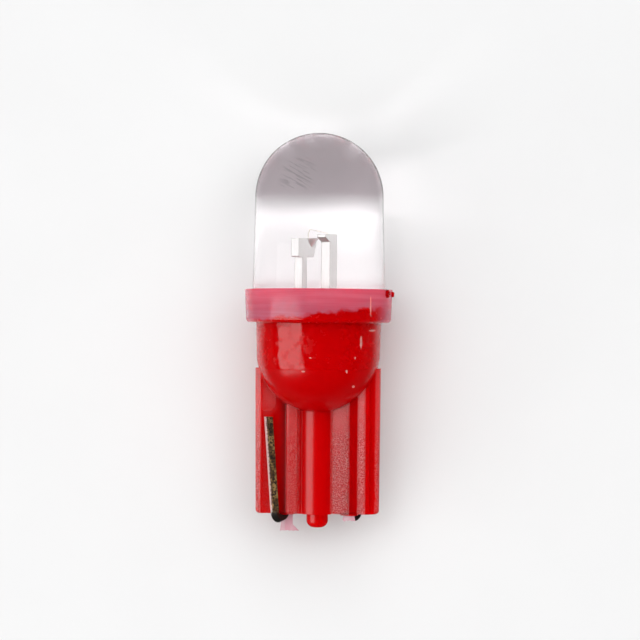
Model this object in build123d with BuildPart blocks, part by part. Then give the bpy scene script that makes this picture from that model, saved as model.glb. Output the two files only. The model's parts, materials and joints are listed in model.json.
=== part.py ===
from build123d import *
import math
import os

# Wedge base LED bulb: a clear round LED held in a red moulded base with a flat wedge blade.
# Units are millimetres. The bulb lies on its collar: its axis runs along Y with the dome at +Y,
# and the front face of the blade looks up, along +Z. Heights are measured up the bulb's own
# axis from the bottom edge of the blade.

# Collar and cup of the base
collar_radius = 5.64
collar_bottom = 14.58
collar_height = 2.52
collar_edge = 0.15
collar_wall = 0.4
collar_overhang = 0.86
cup_centre = 12.37
cup_draft = 0.05
cup_floor = 10.5

# Blade
blade_width = 9.58
blade_thickness = 2.2
blade_top = 11.1
blade_side_round = 0.8
blade_draft = 0.4
blade_bottom_round = 0.3
channel_inner = 2.37
channel_outer = 4.3
channel_floor = 0.45
flat_rib_inner = 1.51
groove_floor = 0.7
pad_outer = 4.0
step_floor = 0.75
centre_rib_radius = 1.35
nub_radius = 0.82
nub_length = 1.07
nub_round = 0.55

# Gate stub on the collar's rim
stub_radius = 0.28
stub_reach = 0.3
stub_turn = 76
stub_drop = 0.36

# Thin flash that hangs from the bottom edge
flash_thickness = 0.12
flash_root = 0.3
long_flash_left = 2.9
long_flash_right = 1.8
long_flash_length = 1.25
long_flash_foot = 0.3
long_flash_back = 0.75
short_flash_left = 1.95
short_flash_width = 1.0
short_flash_length = 0.5
short_flash_front = 0.55

# Clear body of the LED
body_top_radius = 4.9
body_draft = 0.16
dome_centre = 24.15
flange_clearance = 0.04
flange_thickness = 1.54
flange_cut = 0.25

# Lead frame of the LED. Positions across it are measured from its own centre.
frame_turn = 58
frame_shift = -0.28
lead_size = 0.5
lead_pitch = 2.54
anvil_outer = 1.95
anvil_inner = 0.05
anvil_slope = 0.3
anvil_bottom = 19.46
anvil_top = 20.88
anvil_round = 0.12
reflector_offset = -0.5
reflector_rim_radius = 0.55
reflector_root_radius = 0.2
reflector_height = 0.76
reflector_depth = 0.35
reflector_lip = 0.08
reflector_floor_radius = 0.24
post_top = 21.22
post_pad_reach = 0.35
post_pad_height = 0.22

# Chip and its wire
die_size = 0.28
die_height = 0.14
die_attach_radius = 0.22
die_attach_height = 0.04
bond_wire_radius = 0.02
bond_loop_rise = 0.35
bond_loop_start = 0.15
bond_loop_end = 0.1
bond_post_inset = 0.12

# Contact wires and their holes through the blade
hole_across = 2.45
hole_back = 0.2
hole_radius = 0.42
hole_mouth = 0.18
hole_mouth_angle = 45
contact_across = 3.2
contact_out = 0.82
contact_twist = 29
contact_top = 7.37
contact_slant = 0.53
bend_height = 0.24
kink_above_floor = 0.4
kink_below_flange = 0.6

# Series resistor, hung in the cup above its hole
wire_radius = 0.225
resistor_bottom = 11.7
resistor_length = 2.9
resistor_radius = 0.8
resistor_edge = 0.3
resistor_clearance = 0.48
core_radius = 0.48
cap_radius = 0.64
cap_length = 0.8
cap_end = 0.2
coat_end = 0.15
upper_wire_rise = 0.35
anode_tail = 1.16
solder_radius = 0.45
solder_length = 0.9
solder_edge = 0.08

# Worked-out values
half_turn = 180
collar_top = collar_bottom + collar_height
flange_bottom = collar_top - flange_thickness
dome_top = dome_centre + body_top_radius
mid_height = (dome_top - nub_length) / 2
axis_height = collar_radius
seat_radius = collar_radius - collar_wall
flange_radius = seat_radius - flange_clearance
flange_flat = flange_radius - flange_cut
body_bottom_radius = body_top_radius + body_draft
cup_top_radius = collar_radius - collar_overhang
cup_radius = cup_top_radius - cup_draft
hollow_radius = hole_across + resistor_radius + resistor_clearance
floor_radius = math.sqrt(hollow_radius**2 - (cup_centre - cup_floor) ** 2)
floor_angle = math.degrees(math.asin((cup_centre - cup_floor) / hollow_radius))
kink_low = cup_floor + kink_above_floor
kink_high = flange_bottom - kink_below_flange
bend_across = contact_across - hole_across
bend_out = contact_out + hole_back
lead_middle = lead_pitch / 2
reflector_floor = anvil_top - reflector_depth
die_bottom = reflector_floor + die_attach_height
die_top = die_bottom + die_height
bond_post_across = lead_middle - lead_size / 2 + bond_post_inset
resistor_top = resistor_bottom + resistor_length
core_bottom = resistor_bottom + coat_end + cap_end
core_top = resistor_top - coat_end - cap_end
upper_wire_height = resistor_top + upper_wire_rise
anode_bottom = flange_bottom - anode_tail

# Planes and axes. A section plane lies across the bulb and its positive side faces the nub,
# so that what is extruded from it runs down the bulb. Its first axis is X and its second is Z.
front = Plane(origin=(0, -mid_height, axis_height), x_dir=(1, 0, 0), z_dir=(0, 0, 1))
frame_plane = Plane(
    origin=(frame_shift, -mid_height, axis_height), x_dir=(1, 0, 0), z_dir=(0, 0, 1)
).rotated((0, frame_turn, 0))
bulb_axis = Axis((0, 0, axis_height), (0, 1, 0))


def section(height):
    return Plane(
        origin=(0, height - mid_height, axis_height), x_dir=(1, 0, 0), z_dir=(0, -1, 0)
    )


def at(across, out, height):
    """A point given by its place across the bulb, its place in front of the axis and its height."""
    return (across, height - mid_height, axis_height + out)


def frame_point(along):
    """Where a point of the lead frame stands, across the bulb and in front of its axis."""
    turn = math.radians(frame_turn)
    return frame_shift + along * math.cos(turn), -along * math.sin(turn)


cathode_across, cathode_out = frame_point(-lead_middle)
anode_across, anode_out = frame_point(lead_middle)


# Red base: blade, cup, collar, nub, gate stub and flash are one moulding
with BuildPart() as wedge_base:
    # Blade, a little narrower and thinner towards its bottom edge
    with BuildSketch(section(blade_top)):
        RectangleRounded(blade_width, blade_thickness, blade_side_round)
    extrude(amount=blade_top, taper=blade_draft)
    fillet(wedge_base.faces().sort_by(Axis.Y)[0].edges(), blade_bottom_round)

    # Wire channel, groove and edge step, cut into the front and, turned half round, the back
    for turn in (0, half_turn):
        with BuildSketch(section(blade_top).rotated((0, turn, 0))):
            with BuildLine():
                Polyline(
                    (-channel_outer, blade_thickness),
                    (-channel_outer, channel_floor),
                    (-channel_inner, channel_floor),
                    (-channel_inner, blade_thickness),
                    close=True,
                )
            make_face()
            with BuildLine():
                Polyline(
                    (-flat_rib_inner, blade_thickness),
                    (-flat_rib_inner, groove_floor),
                    (0, groove_floor),
                    (0, blade_thickness),
                    close=True,
                )
            make_face()
            with BuildLine():
                Polyline(
                    (pad_outer, blade_thickness),
                    (pad_outer, step_floor),
                    (blade_width, step_floor),
                    (blade_width, blade_thickness),
                    close=True,
                )
            make_face()
        extrude(amount=blade_top, mode=Mode.SUBTRACT)

    # Half-round rib up the middle of both faces, and the nub below it
    with BuildSketch(section(blade_top)):
        Circle(centre_rib_radius)
    extrude(amount=blade_top)
    with BuildSketch(section(0)):
        Circle(nub_radius)
    extrude(amount=nub_length)
    fillet(wedge_base.faces().sort_by(Axis.Y)[0].edges(), nub_round)

    # Cup and collar
    with BuildSketch(front):
        with BuildLine():
            Polyline(
                (0, collar_top),
                (collar_radius, collar_top),
                (collar_radius, collar_bottom),
                (cup_top_radius, collar_bottom),
                (cup_radius, cup_centre),
            )
            CenterArc((0, cup_centre), cup_radius, 0, -90)
            Line((0, cup_centre - cup_radius), (0, collar_top))
        make_face()
    revolve(axis=bulb_axis)
    rims = wedge_base.edges().filter_by(GeomType.CIRCLE).group_by(SortBy.RADIUS)[-1]
    fillet(rims.sort_by(Axis.Y)[0], collar_edge)

    # Gate stub on the collar's rim
    stub_plane = Plane(origin=at(0, 0, collar_top - stub_drop), x_dir=(1, 0, 0), z_dir=(0, 0, 1))
    with BuildSketch(stub_plane.rotated((0, stub_turn, 0))):
        Circle(stub_radius)
    extrude(amount=collar_radius + stub_reach)

    # Seat for the LED's flange, and the hollow of the cup
    with BuildSketch(front):
        with BuildLine():
            Polyline(
                (0, collar_top),
                (seat_radius, collar_top),
                (seat_radius, flange_bottom),
                (hollow_radius, flange_bottom),
                (hollow_radius, cup_centre),
            )
            CenterArc((0, cup_centre), hollow_radius, 0, -floor_angle)
            Polyline((floor_radius, cup_floor), (0, cup_floor), (0, collar_top))
        make_face()
    revolve(axis=bulb_axis, mode=Mode.SUBTRACT)

    # Wire holes from the hollow down to the bottom edge, with flared mouths
    for side in (-1, 1):
        with BuildSketch(section(kink_low)):
            with Locations((side * hole_across, side * hole_back)):
                Circle(hole_radius)
        extrude(amount=kink_low, mode=Mode.SUBTRACT)
        with BuildSketch(section(0)):
            with Locations((side * hole_across, side * hole_back)):
                Circle(hole_radius + hole_mouth)
        extrude(amount=-hole_mouth, taper=hole_mouth_angle, mode=Mode.SUBTRACT)

    # Flash
    with BuildSketch(front.offset(-long_flash_back)):
        with BuildLine():
            Polyline(
                (-long_flash_left, flash_root),
                (-long_flash_left, -long_flash_length),
                (-long_flash_right + long_flash_foot, -long_flash_length - long_flash_foot),
                (-long_flash_right, -long_flash_length + long_flash_foot),
                (-long_flash_right, flash_root),
                close=True,
            )
        make_face()
    extrude(amount=flash_thickness / 2, both=True)
    with BuildSketch(front.offset(short_flash_front)):
        with BuildLine():
            Polyline(
                (short_flash_left, flash_root),
                (short_flash_left, -short_flash_length),
                (short_flash_left + short_flash_width, -short_flash_length / 2),
                (short_flash_left + short_flash_width, flash_root),
                close=True,
            )
        make_face()
    extrude(amount=flash_thickness / 2, both=True)
wedge_base.part.label = "wedge_base"


# Cathode lead: anvil with the reflector cup, leg, and the run through the base to the front
with BuildPart() as cathode_lead:
    with BuildSketch(frame_plane):
        with BuildLine():
            Polyline(
                (-lead_middle - lead_size / 2, kink_high),
                (-lead_middle - lead_size / 2, anvil_bottom),
                (-anvil_outer, anvil_bottom),
                (-anvil_outer, anvil_top),
                (-anvil_inner, anvil_top),
                (-anvil_inner - anvil_slope, anvil_bottom),
                (-lead_middle + lead_size / 2, anvil_bottom),
                (-lead_middle + lead_size / 2, kink_high),
                close=True,
            )
        make_face()
        shoulders = vertices().group_by(Axis.Y)[1].sort_by(Axis.X)
        fillet([shoulders[0], shoulders[-1]], anvil_round)
    extrude(amount=lead_size / 2, both=True)
    # Reflector cup, pressed into the top of the anvil
    cup_across, cup_out = frame_point(reflector_offset)
    with BuildSketch(section(anvil_top)):
        with Locations((cup_across, cup_out)):
            Circle(reflector_rim_radius)
    with BuildSketch(section(anvil_top - reflector_height)):
        with Locations((cup_across, cup_out)):
            Circle(reflector_root_radius)
    loft()
    with BuildSketch(section(anvil_top)):
        with Locations((cup_across, cup_out)):
            Circle(reflector_rim_radius - reflector_lip)
    with BuildSketch(section(reflector_floor)):
        with Locations((cup_across, cup_out)):
            Circle(reflector_floor_radius)
    loft(mode=Mode.SUBTRACT)
    # Run down to the wire hole, turning a little on the way
    with BuildSketch(section(kink_high)):
        with Locations((cathode_across, cathode_out)):
            Rectangle(lead_size, lead_size, rotation=-frame_turn)
    with BuildSketch(section(kink_low)):
        with Locations((-hole_across, -hole_back)):
            Rectangle(lead_size, lead_size, rotation=-contact_twist)
    loft()
    with BuildSketch(section(kink_low)):
        with Locations((-hole_across, -hole_back)):
            Rectangle(lead_size, lead_size, rotation=-contact_twist)
    extrude(amount=kink_low - bend_height)
    # Bend round the bottom edge, and the contact that lies up the front channel
    with BuildSketch(section(bend_height)):
        with Locations((-hole_across, -hole_back)):
            Rectangle(lead_size, lead_size, rotation=-contact_twist)
    bend_axis = Axis(
        at(-(hole_across + contact_across) / 2, (contact_out - hole_back) / 2, bend_height),
        (-bend_out, 0, -bend_across),
    )
    revolve(axis=bend_axis, revolution_arc=half_turn)
    with BuildSketch(section(bend_height)):
        with Locations((-contact_across, contact_out)):
            Rectangle(lead_size, lead_size, rotation=-contact_twist)
    with BuildSketch(section(contact_top)):
        with Locations((-contact_across - contact_slant, contact_out)):
            Rectangle(lead_size, lead_size, rotation=-contact_twist)
    loft()
cathode_lead.part.label = "cathode_lead"


# Anode lead: post with its bonding pad, and the short tail below the LED
with BuildPart() as anode_lead:
    with BuildSketch(frame_plane):
        with BuildLine():
            Polyline(
                (lead_middle + lead_size / 2, anode_bottom),
                (lead_middle + lead_size / 2, post_top),
                (lead_middle - lead_size / 2 - post_pad_reach, post_top),
                (lead_middle - lead_size / 2 - post_pad_reach, post_top - post_pad_height),
                (lead_middle - lead_size / 2, post_top - post_pad_height - post_pad_reach),
                (lead_middle - lead_size / 2, anode_bottom),
                close=True,
            )
        make_face()
    extrude(amount=lead_size / 2, both=True)
anode_lead.part.label = "anode_lead"


# Conductive glue under the chip, and the chip
with BuildPart() as die_attach:
    with BuildSketch(section(reflector_floor)):
        with Locations((cup_across, cup_out)):
            Circle(die_attach_radius)
    extrude(amount=-die_attach_height)
die_attach.part.label = "die_attach"

with BuildPart() as led_die:
    with BuildSketch(section(die_bottom)):
        with Locations((cup_across, cup_out)):
            Rectangle(die_size, die_size, rotation=-frame_turn)
    extrude(amount=-die_height)
led_die.part.label = "led_die"


# Bond wire from the top of the chip to the post
with BuildPart() as bond_wire:
    with BuildLine(frame_plane):
        bond_route = Polyline(
            (reflector_offset, die_top),
            (reflector_offset, post_top),
            (reflector_offset + bond_loop_start, post_top + bond_loop_rise),
            (bond_post_across, post_top + bond_loop_end),
            (bond_post_across, post_top),
        )
    with BuildSketch(Plane(origin=bond_route @ 0, z_dir=bond_route % 0)):
        Circle(bond_wire_radius)
    sweep(transition=Transition.RIGHT)
bond_wire.part.label = "bond_wire"


# Clear body, cast round the lead frame
with BuildPart() as led_lens:
    with BuildSketch(front):
        with BuildLine():
            Polyline(
                (0, flange_bottom),
                (flange_radius, flange_bottom),
                (flange_radius, collar_top),
                (body_bottom_radius, collar_top),
                (body_top_radius, dome_centre),
            )
            CenterArc((0, dome_centre), body_top_radius, 0, 90)
            Line((0, dome_top), (0, flange_bottom))
        make_face()
    revolve(axis=bulb_axis)
    # Flat on the flange at the cathode's side
    with BuildSketch(frame_plane):
        with BuildLine():
            Polyline(
                (-flange_flat - frame_shift, flange_bottom),
                (-flange_flat - frame_shift, collar_top),
                (-flange_flat - flange_radius, collar_top),
                (-flange_flat - flange_radius, flange_bottom),
                close=True,
            )
        make_face()
    extrude(amount=flange_radius, both=True, mode=Mode.SUBTRACT)
    add(cathode_lead.part, mode=Mode.SUBTRACT)
    add(anode_lead.part, mode=Mode.SUBTRACT)
    add(die_attach.part, mode=Mode.SUBTRACT)
    add(led_die.part, mode=Mode.SUBTRACT)
    add(bond_wire.part, mode=Mode.SUBTRACT)
led_lens.part.label = "led_lens"


# Series resistor: ceramic rod, pressed end caps, wires and lacquer coat
with BuildPart() as resistor_core:
    with BuildSketch(section(core_top)):
        with Locations((hole_across, hole_back)):
            Circle(core_radius)
    extrude(amount=core_top - core_bottom)
resistor_core.part.label = "resistor_core"

with BuildPart() as resistor_cap_upper:
    with BuildSketch(section(core_top + cap_end)):
        with Locations((hole_across, hole_back)):
            Circle(cap_radius)
    extrude(amount=cap_length)
    add(resistor_core.part, mode=Mode.SUBTRACT)
resistor_cap_upper.part.label = "resistor_cap_upper"

with BuildPart() as resistor_cap_lower:
    with BuildSketch(section(core_bottom - cap_end)):
        with Locations((hole_across, hole_back)):
            Circle(cap_radius)
    extrude(amount=-cap_length)
    add(resistor_core.part, mode=Mode.SUBTRACT)
resistor_cap_lower.part.label = "resistor_cap_lower"

# Upper wire, bent over to the anode lead's tail
with BuildPart() as resistor_wire_upper:
    with BuildLine():
        upper_route = Polyline(
            at(hole_across, hole_back, core_top + cap_end),
            at(hole_across, hole_back, upper_wire_height),
            at(anode_across, anode_out, upper_wire_height),
        )
    with BuildSketch(Plane(origin=upper_route @ 0, z_dir=upper_route % 0)):
        Circle(wire_radius)
    sweep(transition=Transition.RIGHT)
    add(anode_lead.part, mode=Mode.SUBTRACT)
resistor_wire_upper.part.label = "resistor_wire_upper"

# Lower wire: down through its hole, round the bottom edge and up the back
with BuildPart() as resistor_wire_lower:
    with BuildSketch(section(core_bottom - cap_end)):
        with Locations((hole_across, hole_back)):
            Circle(wire_radius)
    extrude(amount=core_bottom - cap_end - bend_height)
    with BuildSketch(section(bend_height)):
        with Locations((hole_across, hole_back)):
            Circle(wire_radius)
    back_bend_axis = Axis(
        at((hole_across + contact_across) / 2, (hole_back - contact_out) / 2, bend_height),
        (bend_out, 0, bend_across),
    )
    revolve(axis=back_bend_axis, revolution_arc=half_turn)
    with BuildSketch(section(bend_height)):
        with Locations((contact_across, -contact_out)):
            Circle(wire_radius)
    with BuildSketch(section(contact_top)):
        with Locations((contact_across + contact_slant, -contact_out)):
            Circle(wire_radius)
    loft()
resistor_wire_lower.part.label = "resistor_wire_lower"

with BuildPart() as resistor_coat:
    with BuildSketch(section(resistor_top)):
        with Locations((hole_across, hole_back)):
            Circle(resistor_radius)
    extrude(amount=resistor_length)
    chamfer(resistor_coat.edges().filter_by(GeomType.CIRCLE), resistor_edge)
    add(resistor_core.part, mode=Mode.SUBTRACT)
    add(resistor_cap_upper.part, mode=Mode.SUBTRACT)
    add(resistor_cap_lower.part, mode=Mode.SUBTRACT)
    add(resistor_wire_upper.part, mode=Mode.SUBTRACT)
    add(resistor_wire_lower.part, mode=Mode.SUBTRACT)
resistor_coat.part.label = "resistor_coat"


# Solder that joins the anode's tail to the resistor's upper wire
with BuildPart() as solder_joint:
    with BuildSketch(section(upper_wire_height + solder_length / 2)):
        with Locations((anode_across, anode_out)):
            Circle(solder_radius)
    extrude(amount=solder_length)
    chamfer(solder_joint.edges().filter_by(GeomType.CIRCLE), solder_edge)
    add(anode_lead.part, mode=Mode.SUBTRACT)
    add(resistor_wire_upper.part, mode=Mode.SUBTRACT)
solder_joint.part.label = "solder_joint"


# One file for each piece
os.makedirs("parts", exist_ok=True)
pieces = (
    wedge_base,
    led_lens,
    cathode_lead,
    anode_lead,
    die_attach,
    led_die,
    bond_wire,
    resistor_core,
    resistor_cap_upper,
    resistor_cap_lower,
    resistor_wire_upper,
    resistor_wire_lower,
    resistor_coat,
    solder_joint,
)
for piece in pieces:
    export_step(piece.part, f"parts/{piece.part.label}.step")
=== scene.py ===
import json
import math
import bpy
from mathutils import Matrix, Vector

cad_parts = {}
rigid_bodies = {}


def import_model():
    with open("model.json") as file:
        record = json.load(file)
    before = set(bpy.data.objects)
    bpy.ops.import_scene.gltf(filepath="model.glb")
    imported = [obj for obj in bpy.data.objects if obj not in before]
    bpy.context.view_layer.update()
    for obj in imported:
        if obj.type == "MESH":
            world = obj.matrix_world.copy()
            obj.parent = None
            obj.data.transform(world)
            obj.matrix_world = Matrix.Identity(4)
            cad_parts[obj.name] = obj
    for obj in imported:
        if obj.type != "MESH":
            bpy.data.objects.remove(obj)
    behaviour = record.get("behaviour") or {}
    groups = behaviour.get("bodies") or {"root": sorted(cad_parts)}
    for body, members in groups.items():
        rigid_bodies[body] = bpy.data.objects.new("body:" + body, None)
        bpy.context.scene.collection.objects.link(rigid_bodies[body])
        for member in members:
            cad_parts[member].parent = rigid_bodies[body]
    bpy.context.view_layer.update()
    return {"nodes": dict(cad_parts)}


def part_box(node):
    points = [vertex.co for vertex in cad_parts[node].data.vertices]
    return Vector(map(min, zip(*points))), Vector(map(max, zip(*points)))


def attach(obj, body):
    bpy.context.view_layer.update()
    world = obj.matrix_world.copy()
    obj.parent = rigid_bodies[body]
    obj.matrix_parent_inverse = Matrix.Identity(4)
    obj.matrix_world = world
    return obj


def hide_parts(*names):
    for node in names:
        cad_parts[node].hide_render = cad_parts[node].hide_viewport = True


bl_info = {
    "name": "Wedge Base LED Bulb",
    "version": (1, 0, 0),
    "blender": (4, 5, 0),
    "location": "View3D > Sidebar > Wedge Bulb",
    "description": "Builds a clear LED bulb in a red moulded wedge base, and the stage it lies on",
    "category": "Add Mesh",
}

import bmesh
import bpy
from bpy.props import FloatProperty, FloatVectorProperty, IntProperty, PointerProperty
from mathutils import Matrix, Vector, noise

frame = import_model()

MM = 0.001
BODY = "root"

# Where the bulb lies in the frame: its axis runs along Y at the collar's radius above the floor,
# and heights are measured from the bottom edge of the blade
BASE_LOW, BASE_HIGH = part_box("wedge_base")
DOME_TOP = 29.05 * MM
FOOT_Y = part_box("led_lens")[1].y - DOME_TOP
AXIS_Z = (BASE_LOW.z + BASE_HIGH.z) / 2


class BulbSizes(bpy.types.PropertyGroup):
    """Sizes of the bulb that a user would change"""

    collar_radius: FloatProperty(
        name="Collar radius",
        description="Radius of the collar that holds the LED's flange",
        default=5.64 * MM,
        unit="LENGTH",
        precision=5,
    )
    collar_bottom: FloatProperty(
        name="Collar bottom",
        description="Height of the collar's lower rim above the blade's bottom edge",
        default=14.58 * MM,
        unit="LENGTH",
        precision=5,
    )
    collar_top: FloatProperty(
        name="Collar top",
        description="Height of the collar's upper rim above the blade's bottom edge",
        default=17.1 * MM,
        unit="LENGTH",
        precision=5,
    )
    cup_radius: FloatProperty(
        name="Cup radius",
        description="Radius of the round cup below the collar",
        default=4.73 * MM,
        unit="LENGTH",
        precision=5,
    )
    cup_centre: FloatProperty(
        name="Cup centre",
        description="Height of the centre of the cup's round end",
        default=12.37 * MM,
        unit="LENGTH",
        precision=5,
    )
    blade_width: FloatProperty(
        name="Blade width",
        description="Width of the flat blade where it leaves the cup",
        default=9.58 * MM,
        unit="LENGTH",
        precision=5,
    )
    blade_thickness: FloatProperty(
        name="Blade thickness",
        description="Thickness of the flat blade over its pads",
        default=2.2 * MM,
        unit="LENGTH",
        precision=5,
    )
    rib_radius: FloatProperty(
        name="Middle rib radius",
        description="Radius of the half-round rib up the middle of both faces",
        default=1.35 * MM,
        unit="LENGTH",
        precision=5,
    )
    nub_radius: FloatProperty(
        name="Nub radius",
        description="Radius of the round nub on the bottom edge",
        default=0.82 * MM,
        unit="LENGTH",
        precision=5,
    )
    lens_top_radius: FloatProperty(
        name="Dome radius",
        description="Radius of the clear body's dome",
        default=4.9 * MM,
        unit="LENGTH",
        precision=5,
    )
    lens_bottom_radius: FloatProperty(
        name="Clear body radius",
        description="Radius of the clear body where it meets the collar",
        default=5.06 * MM,
        unit="LENGTH",
        precision=5,
    )
    dome_centre: FloatProperty(
        name="Dome centre",
        description="Height of the centre of the dome",
        default=24.15 * MM,
        unit="LENGTH",
        precision=5,
    )
    turns: IntProperty(
        name="Segments",
        description="Number of steps round each turned piece",
        default=192,
        min=24,
        subtype="UNSIGNED",
    )


class BulbColours(bpy.types.PropertyGroup):
    """Colours of the bulb and of the stage that a user would change"""

    red_plastic: FloatVectorProperty(
        name="Red plastic",
        description="Colour of the thick red plastic of the base",
        default=(0.55, 0.0004, 0.0014),
        size=3,
        min=0.0,
        max=1.0,
        subtype="COLOR",
    )
    # Painted light: the pale pink of light that shines through the thin collar
    thin_plastic_glow: FloatVectorProperty(
        name="Thin red plastic",
        description="Colour of the red plastic where it is thin enough to let light through",
        default=(0.51, 0.102, 0.158),
        size=3,
        min=0.0,
        max=1.0,
        subtype="COLOR",
    )
    flash_plastic: FloatVectorProperty(
        name="Flash",
        description="Colour of the paper-thin flash on the bottom edge",
        default=(0.74, 0.37, 0.44),
        size=3,
        min=0.0,
        max=1.0,
        subtype="COLOR",
    )
    clear_body: FloatVectorProperty(
        name="Clear body",
        description="Tint of the clear epoxy",
        default=(1.0, 0.995, 1.0),
        size=3,
        min=0.0,
        max=1.0,
        subtype="COLOR",
    )
    # Painted shade: the pink-grey cast of the dome's shade, painted into its tint
    dome_shade_tint: FloatVectorProperty(
        name="Dome tint",
        description="Slight tint of the clear epoxy in the dome",
        default=(1.0, 0.925, 0.96),
        size=3,
        min=0.0,
        max=1.0,
        subtype="COLOR",
    )
    bright_metal: FloatVectorProperty(
        name="Bright metal",
        description="Colour of the plated lead frame inside the clear body",
        default=(0.9, 0.885, 0.875),
        size=3,
        min=0.0,
        max=1.0,
        subtype="COLOR",
    )
    tarnish: FloatVectorProperty(
        name="Tarnish",
        description="Colour of the tarnished contact wires outside the base",
        default=(0.38, 0.24, 0.09),
        size=3,
        min=0.0,
        max=1.0,
        subtype="COLOR",
    )
    paper: FloatVectorProperty(
        name="Floor",
        description="Colour of the pale floor",
        default=(0.825, 0.822, 0.82),
        size=3,
        min=0.0,
        max=1.0,
        subtype="COLOR",
    )


class StudioSettings(bpy.types.PropertyGroup):
    """Camera and light of the stage"""

    camera_distance: FloatProperty(
        name="Camera distance",
        description="Distance of the camera above the bulb's axis",
        default=0.136,
        unit="LENGTH",
        precision=4,
    )
    camera_lean: FloatProperty(
        name="Camera lean",
        description="How far the camera leans over to the right of the bulb",
        default=math.radians(3.0),
        subtype="ANGLE",
        unit="ROTATION",
    )
    camera_roll: FloatProperty(
        name="Camera roll",
        description="Turn of the camera about its line of sight",
        default=math.radians(0.4),
        subtype="ANGLE",
        unit="ROTATION",
    )
    softbox_power: FloatProperty(
        name="Softbox",
        description="Power of the large softbox at the left",
        default=3.4,
        min=0.0,
        unit="POWER",
    )
    dim_sky: FloatProperty(
        name="Dim sky",
        description="Strength of the dim light from all round",
        default=0.27,
        min=0.0,
        subtype="FACTOR",
    )
    horizon_glow: FloatProperty(
        name="Horizon glow",
        description="Strength of the light from low down all round",
        default=1.2,
        min=0.0,
        subtype="FACTOR",
    )


def place(across, out, height):
    """A point given by its place across the bulb, in front of its axis, and its height."""
    return Vector((across, FOOT_Y + height, AXIS_Z + out))


# Mesh helpers


def new_object(name, mesh_data):
    made = bpy.data.objects.new(name, mesh_data)
    bpy.context.scene.collection.objects.link(made)
    return made


def from_bmesh(name, bm):
    bmesh.ops.recalc_face_normals(bm, faces=bm.faces)
    data = bpy.data.meshes.new(name)
    bm.to_mesh(data)
    bm.free()
    return new_object(name, data)


def lathe(name, profile, turns, centre=(0.0, 0.0)):
    """Turns a profile of (radius, height) pairs about an axis that runs up the bulb."""
    bm = bmesh.new()
    rings = []
    for radius, height in profile:
        if radius < 1e-9:
            rings.append([bm.verts.new(place(centre[0], centre[1], height))])
            continue
        ring = []
        for step in range(turns):
            angle = math.tau * step / turns
            across = centre[0] + radius * math.sin(angle)
            out = centre[1] + radius * math.cos(angle)
            ring.append(bm.verts.new(place(across, out, height)))
        rings.append(ring)
    for low, high in zip(rings, rings[1:]):
        for step in range(turns):
            after = (step + 1) % turns
            corners = [low[step % len(low)], low[after % len(low)]]
            corners += [high[after % len(high)], high[step % len(high)]]
            unique = list(dict.fromkeys(corners))
            if len(unique) > 2:
                bm.faces.new(unique)
    return from_bmesh(name, bm)


def loft(name, rows):
    """Skins closed rows of points, all of one length, and closes both ends."""
    bm = bmesh.new()
    loops = [[bm.verts.new(point) for point in row] for row in rows]
    count = len(loops[0])
    for low, high in zip(loops, loops[1:]):
        for step in range(count):
            after = (step + 1) % count
            bm.faces.new((low[step], low[after], high[after], high[step]))
    ends = [bm.faces.new(loops[0]), bm.faces.new(loops[-1])]
    bmesh.ops.triangulate(bm, faces=ends)
    return from_bmesh(name, bm)


def cut(piece, tool, operation):
    """Joins or cuts two closed meshes, keeps the result on the first and deletes the second."""
    change = piece.modifiers.new(operation, "BOOLEAN")
    change.operation = operation
    change.object = tool
    change.solver = "EXACT"
    bpy.context.view_layer.update()
    shape = piece.evaluated_get(bpy.context.evaluated_depsgraph_get())
    data = bpy.data.meshes.new_from_object(shape)
    piece.modifiers.clear()
    old = piece.data
    piece.data = data
    bpy.data.meshes.remove(old)
    bpy.data.objects.remove(tool)


def smooth(piece, angle):
    """Shades a mesh smooth, with sharp edges where it turns by more than the angle in degrees."""
    for face in piece.data.polygons:
        face.use_smooth = True
    piece.data.set_sharp_from_angle(angle=math.radians(angle))


def dress(piece, material, stands_for=()):
    """Gives a piece its material, its body and the CAD nodes that it stands for."""
    piece.data.materials.clear()
    piece.data.materials.append(material)
    if piece.parent is None:
        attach(piece, BODY)
    if stands_for:
        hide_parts(*stands_for)


def arc(radius, start, end, steps, centre):
    """Points of an arc in (across, up) pairs, angles in degrees from the first axis."""
    points = []
    for step in range(steps + 1):
        angle = math.radians(start + (end - start) * step / steps)
        points.append((centre[0] + radius * math.cos(angle), centre[1] + radius * math.sin(angle)))
    return points


def soften(corners):
    """Rounds the corners of an open outline. Each corner is (x, y, reach of the round)."""
    points = []
    last = len(corners) - 1
    for index, (x, y, reach) in enumerate(corners):
        here = Vector((x, y))
        if reach == 0 or index in (0, last):
            points.append((x, y))
            continue
        before = (Vector(corners[index - 1][:2]) - here).normalized() * reach
        after = (Vector(corners[index + 1][:2]) - here).normalized() * reach
        for step in range(ROUND_STEPS + 1):
            t = step / ROUND_STEPS
            bend = here + before * (1 - t) ** 2 + after * t**2
            points.append((bend.x, bend.y))
    return points


# Node helpers


def connect(tree, socket, value):
    """Links a socket to another one, or sets it to a plain value."""
    if isinstance(value, bpy.types.NodeSocket):
        tree.links.new(value, socket)
    else:
        socket.default_value = value


def node(tree, kind, inputs=None, **settings):
    """Adds a node, sets its options, and sets or links its inputs."""
    made = tree.nodes.new(kind)
    for key, value in settings.items():
        setattr(made, key, value)
    for key, value in (inputs or {}).items():
        connect(tree, made.inputs[key], value)
    return made


def feed(tree, made, **inputs):
    """Sets or links the inputs of a node. Underscores in the names stand for spaces."""
    for key, value in inputs.items():
        connect(tree, made.inputs[key.replace("_", " ")], value)


def maths(tree, operation, first, second=0.0, third=0.0, clamp=False):
    inputs = {0: first, 1: second, 2: third}
    return node(tree, "ShaderNodeMath", inputs, operation=operation, use_clamp=clamp).outputs[0]


def vector_maths(tree, operation, *inputs):
    """Maths on vectors. A length or a dot product gives a number, the rest give a vector."""
    made = node(tree, "ShaderNodeVectorMath", dict(enumerate(inputs)), operation=operation)
    return made.outputs["Value" if operation in ("LENGTH", "DOT_PRODUCT") else "Vector"]


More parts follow.
